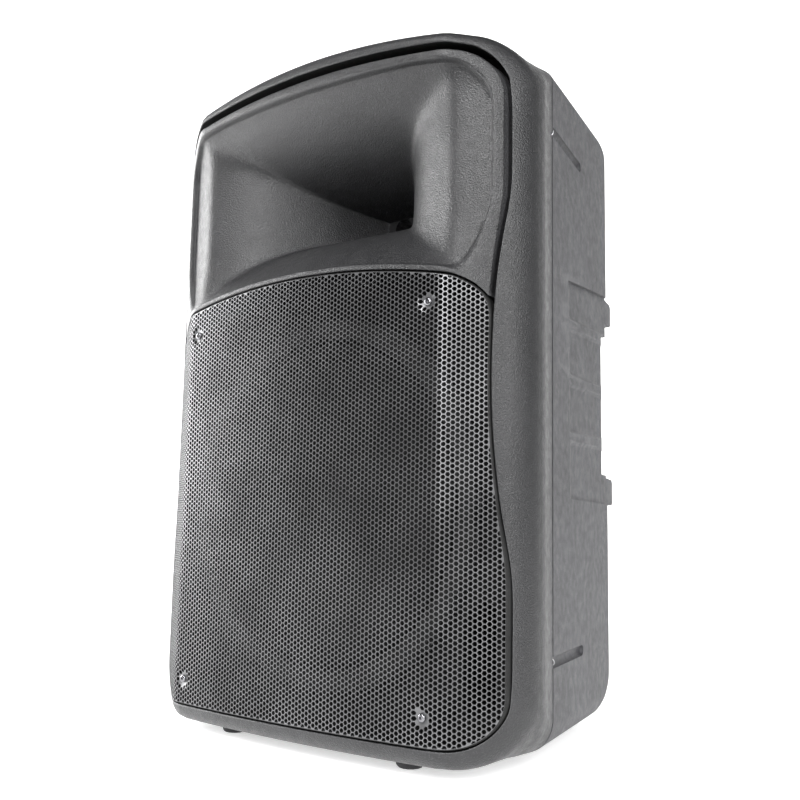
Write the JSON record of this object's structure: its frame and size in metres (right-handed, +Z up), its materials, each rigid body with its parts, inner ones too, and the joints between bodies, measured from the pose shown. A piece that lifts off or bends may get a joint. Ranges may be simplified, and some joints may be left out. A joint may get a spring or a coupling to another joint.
{
  "type": "pa speaker cabinet",
  "caption": "Tall moulded powered loudspeaker with a bowed front, wide horn above a perforated steel grille, large woofer, side grips, rear amplifier panel and rubber feet",
  "frame": {"origin": "middle of the cabinet's footprint, on the surface that the rubber feet stand on", "axes": "+Z up, the front with the grille and horn faces -Y, +X is to the right seen from the front"},
  "size_m": [0.472, 0.3986, 0.716],
  "materials": {
    "case_plastic": "textured charcoal moulding",
    "grille_steel": "gloss black powder coat",
    "fastener_steel": "zinc plated",
    "seal_rubber": "soft black",
    "foot_rubber": "matt black",
    "knob_rubber": "soft touch",
    "cast_frame": "cast and painted",
    "motor_steel": "plated",
    "ferrite": "sintered",
    "cone_paper": "pressed pulp",
    "surround_cloth": "doped cloth",
    "coil_copper": "enamelled copper",
    "diaphragm_film": "thin dome",
    "panel_metal": "fine black powder coat",
    "board": "solder mask",
    "connector_plastic": "satin black",
    "connector_metal": "nickel plated",
    "lamp_lens": "tinted clear"
  },
  "bodies": {
    "cabinet": {"front_shell": "case_plastic", "rear_shell": "case_plastic", "horn_waveguide": "case_plastic", "port_tube_left": "case_plastic", "port_tube_right": "case_plastic", "grille": "grille_steel", "grille_screw_upper_left": "fastener_steel", "grille_screw_lower_left": "fastener_steel", "grille_screw_upper_right": "fastener_steel", "grille_screw_lower_right": "fastener_steel", "shell_screw_upper_left": "fastener_steel", "shell_screw_lower_left": "fastener_steel", "shell_screw_upper_right": "fastener_steel", "shell_screw_lower_right": "fastener_steel", "amp_panel_screw_1": "fastener_steel", "amp_panel_screw_2": "fastener_steel", "amp_panel_screw_3": "fastener_steel", "amp_panel_screw_4": "fastener_steel", "shell_gasket": "seal_rubber", "woofer_gasket": "seal_rubber", "foot_front_left": "foot_rubber", "foot_front_right": "foot_rubber", "foot_rear_left": "foot_rubber", "foot_rear_right": "foot_rubber", "woofer_basket": "cast_frame", "pole_socket": "cast_frame", "horn_driver_flange": "cast_frame", "horn_driver_cover": "cast_frame", "woofer_top_plate": "motor_steel", "woofer_back_plate": "motor_steel", "potentiometer_1": "motor_steel", "potentiometer_2": "motor_steel", "potentiometer_3": "motor_steel", "potentiometer_4": "motor_steel", "woofer_magnet": "ferrite", "horn_driver_magnet": "ferrite", "woofer_surround": "surround_cloth", "woofer_spider": "surround_cloth", "amp_transformer": "coil_copper", "horn_driver_diaphragm": "diaphragm_film", "amp_panel": "panel_metal", "amp_heatsink": "panel_metal", "amp_circuit_board": "board", "mains_inlet": "connector_plastic", "power_switch_frame": "connector_plastic", "input_combo_socket": "connector_plastic", "link_output_socket": "connector_metal", "power_lamp_lens": "lamp_lens"},
    "woofer_moving": {"woofer_cone": "cone_paper", "woofer_dust_cap": "cone_paper", "woofer_voice_coil": "coil_copper"},
    "knob_one": {"knob_1": "knob_rubber"},
    "knob_two": {"knob_2": "knob_rubber"},
    "knob_three": {"knob_3": "knob_rubber"},
    "knob_four": {"knob_4": "knob_rubber"},
    "rocker": {"power_rocker": "connector_plastic"},
    "drawer": {"fuse_drawer": "connector_plastic"},
    "latch": {"socket_latch": "connector_metal"}
  },
  "joints": [
    {"name": "woofer_travel", "type": "slide", "parent": "cabinet", "child": "woofer_moving", "axis": [0, -1, 0], "range_m": [-0.006, 0.006], "stiffness_N_per_m": 3000, "deforming": ["woofer_surround", "woofer_spider"]},
    {"name": "knob_one_turn", "type": "hinge", "parent": "cabinet", "child": "knob_one", "pos_m": [-0.075, 0.1759, 0.5], "axis": [0, 1, 0], "range_deg": [-150, 150]},
    {"name": "knob_two_turn", "type": "hinge", "parent": "cabinet", "child": "knob_two", "pos_m": [-0.025, 0.1759, 0.5], "axis": [0, 1, 0], "range_deg": [-150, 150]},
    {"name": "knob_three_turn", "type": "hinge", "parent": "cabinet", "child": "knob_three", "pos_m": [0.025, 0.1759, 0.5], "axis": [0, 1, 0], "range_deg": [-150, 150]},
    {"name": "knob_four_turn", "type": "hinge", "parent": "cabinet", "child": "knob_four", "pos_m": [0.075, 0.1759, 0.5], "axis": [0, 1, 0], "range_deg": [-150, 150]},
    {"name": "rocker_tilt", "type": "hinge", "parent": "cabinet", "child": "rocker", "pos_m": [0.062, 0.1699, 0.366], "axis": [1, 0, 0], "range_deg": [0, 20]},
    {"name": "fuse_drawer_slide", "type": "slide", "parent": "cabinet", "child": "drawer", "axis": [0, 1, 0], "range_m": [0, 0.015]},
    {"name": "latch_press", "type": "slide", "parent": "cabinet", "child": "latch", "axis": [0, -1, 0], "range_m": [0, 0.002], "stiffness_N_per_m": 600}
  ]
}
